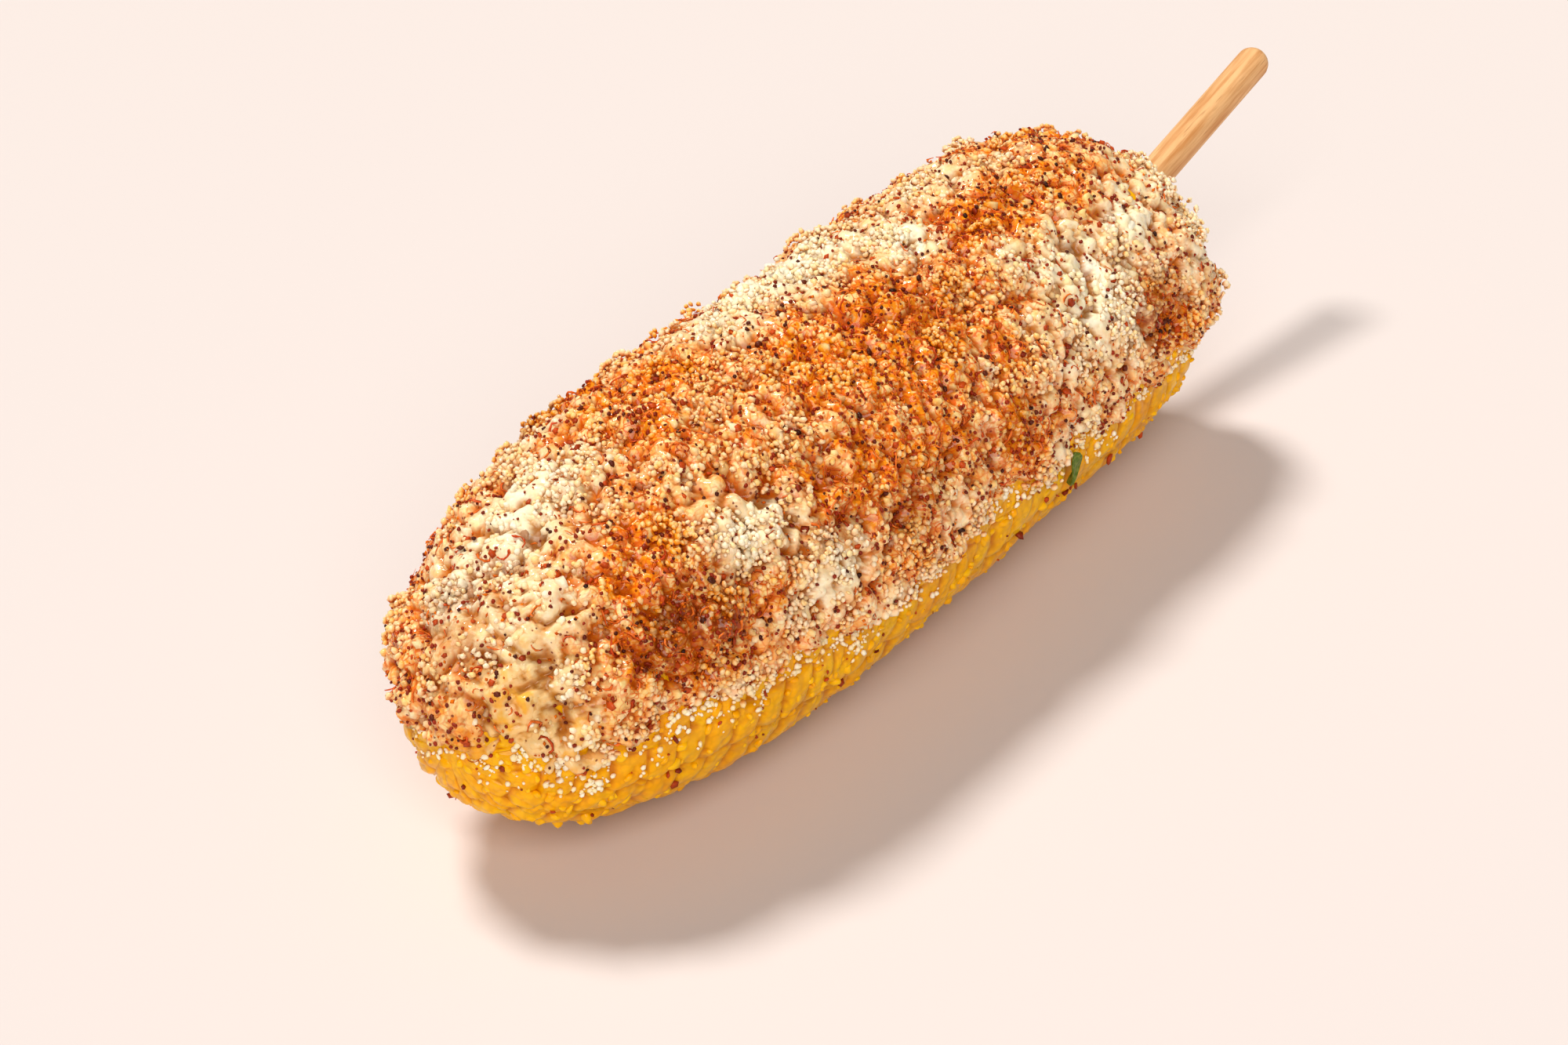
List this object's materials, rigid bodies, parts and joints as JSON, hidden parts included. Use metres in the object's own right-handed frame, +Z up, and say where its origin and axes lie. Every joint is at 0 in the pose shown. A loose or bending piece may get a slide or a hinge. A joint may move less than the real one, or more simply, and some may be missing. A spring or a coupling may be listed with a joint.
{
  "type": "elote",
  "caption": "Elote lying on its side: an ear of corn on a wooden stick, its upper half coated with crema, crumbled cheese and chili powder, with bare kernels below.",
  "frame": {"origin": "middle of the small flat spot on the underside that the ear rests on", "axes": "+X along the ear from its tip to its butt, where the stick comes out; +Z up, through the middle of the coat; +Y to the back"},
  "size_m": [0.2213, 0.0585, 0.0553],
  "materials": {
    "kernels": "moist, glossy golden-yellow corn kernels",
    "crema_cheese": "satin off-white crema with crumbled cheese",
    "chili": "dry brick-red chili powder and flakes",
    "herb": "soft green leaf",
    "stick_wood": "bare pale wood with fine long grain"
  },
  "bodies": {
    "root": {"ear": "kernels", "coating": "crema_cheese", "stick": "stick_wood"}
  },
  "joints": []
}
